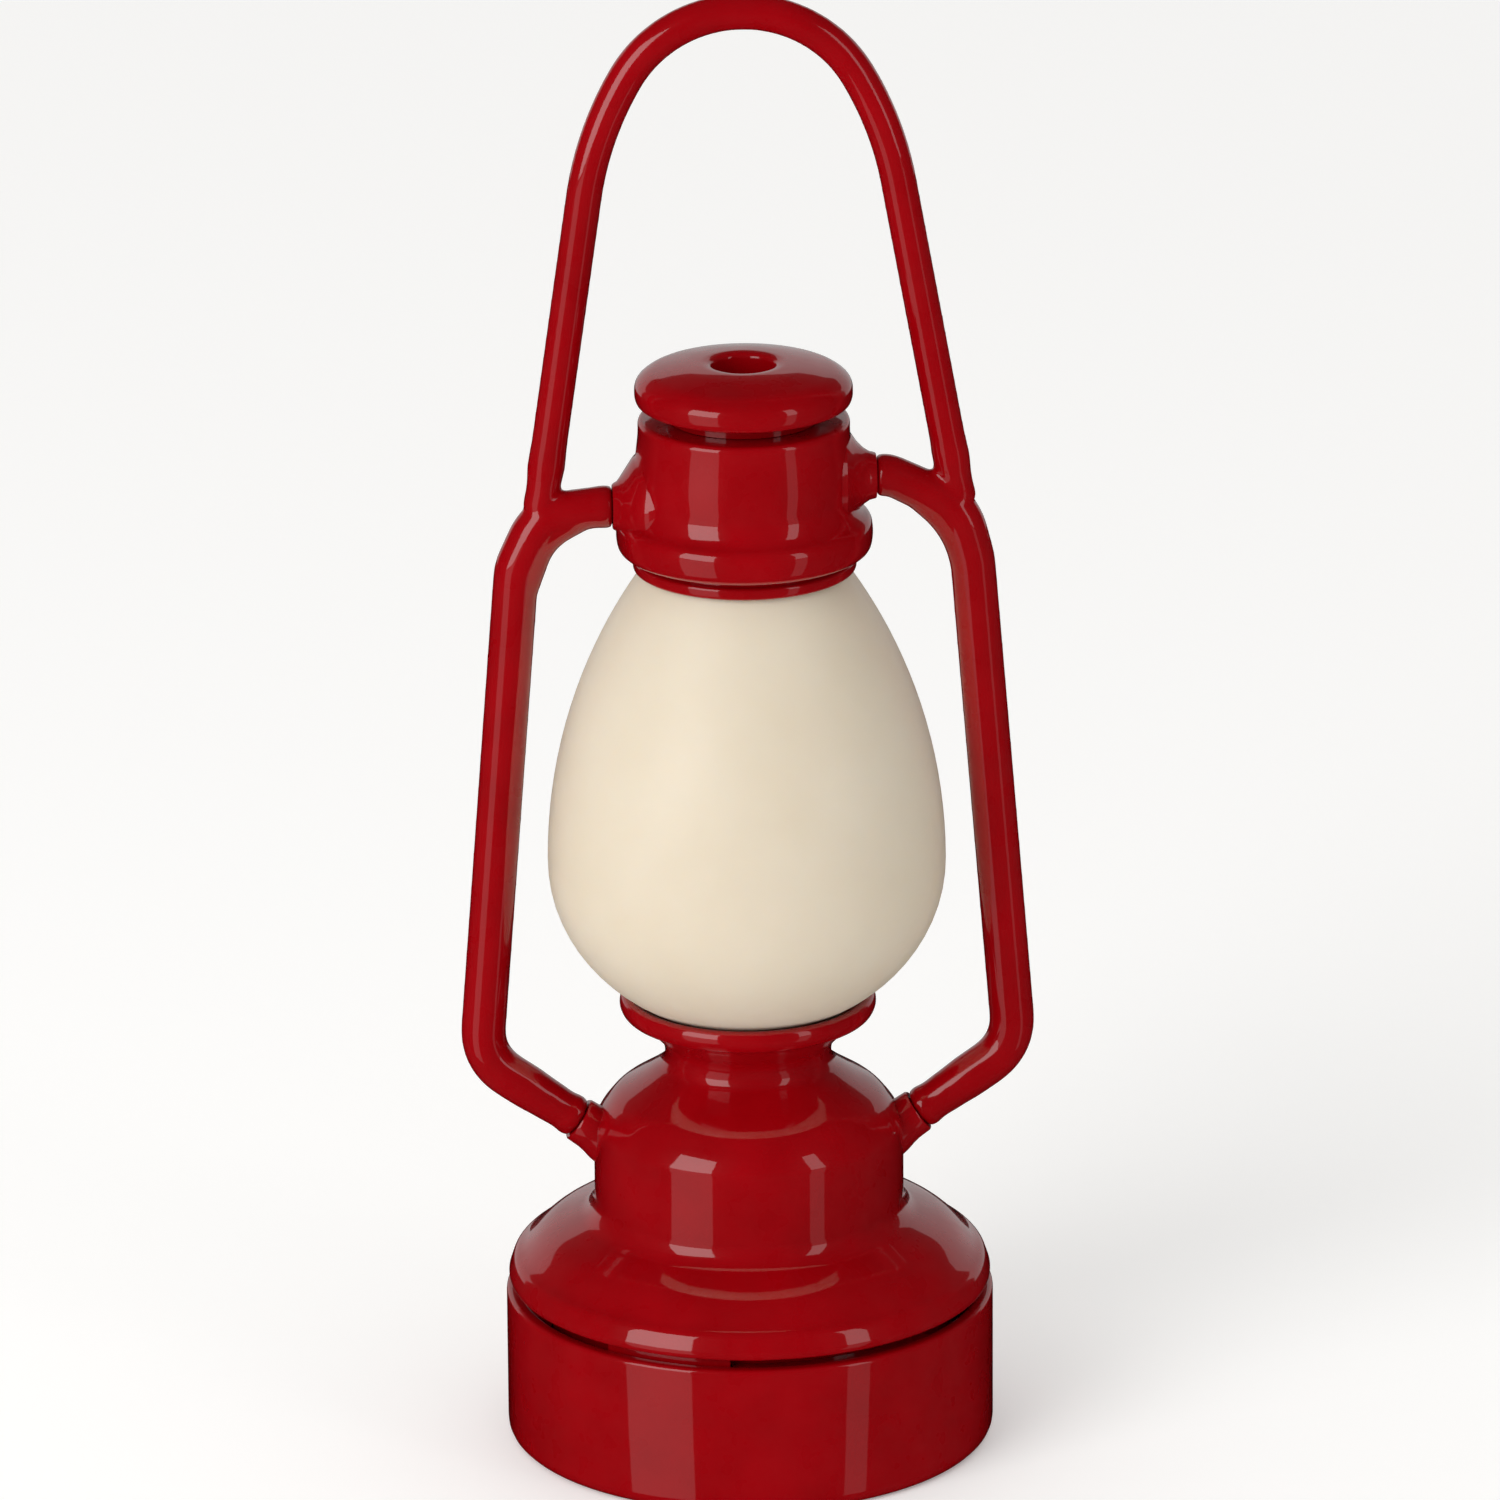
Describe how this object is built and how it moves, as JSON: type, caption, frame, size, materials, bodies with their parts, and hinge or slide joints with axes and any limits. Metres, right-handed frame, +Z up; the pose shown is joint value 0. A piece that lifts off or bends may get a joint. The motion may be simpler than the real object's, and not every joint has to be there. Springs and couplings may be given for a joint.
{
  "type": "oil lamp",
  "caption": "Doll-scale battery lantern shaped like an oil lamp: red cast body and carrying frame, cream egg-shaped globe, twist-switch base cup.",
  "frame": {"origin": "centre of the standing face under the base cup", "axes": "+Z up the lantern's axis to the arch handle, +X towards the right arm, -Y is the front"},
  "size_m": [0.0308, 0.0262, 0.08],
  "materials": {
    "red_lacquer": "glossy red lacquer on cast zinc",
    "globe_plastic": "satin cream translucent plastic",
    "nickel_steel": "nickel-plated steel",
    "clear_resin": "clear epoxy resin",
    "tinned_wire": "tinned wire and solder",
    "white_plastic": "moulded ABS",
    "board_green": "glass-epoxy board",
    "copper": "bare copper track",
    "black_chip": "chip resistor",
    "spring_brass": "spring brass",
    "pad_foam": "dense foam rubber"
  },
  "bodies": {
    "lantern": {"cap": "red_lacquer", "hood": "red_lacquer", "globe": "globe_plastic", "carrying_frame": "red_lacquer", "fount": "red_lacquer", "retaining_ring": "nickel_steel", "led": "clear_resin", "led_leads": "tinned_wire", "led_holder": "white_plastic", "circuit_board": "board_green", "contact_track": "copper", "resistor": "black_chip", "board_screws": "nickel_steel", "anode_spring": "spring_brass", "solder_joints": "tinned_wire"},
    "base": {"base_cup": "red_lacquer", "battery_carrier": "white_plastic", "carrier_screws": "nickel_steel", "cell_1": "nickel_steel", "cell_2": "nickel_steel", "cell_3": "nickel_steel", "pressure_pad": "pad_foam", "wiper_strip": "spring_brass", "battery_cover": "red_lacquer", "cover_screw": "nickel_steel"}
  },
  "joints": [
    {"name": "base_twist", "type": "hinge", "parent": "lantern", "child": "base", "pos_m": [0, 0, 0.004], "axis": [0, 0, 1], "range_deg": [0, 30]}
  ]
}
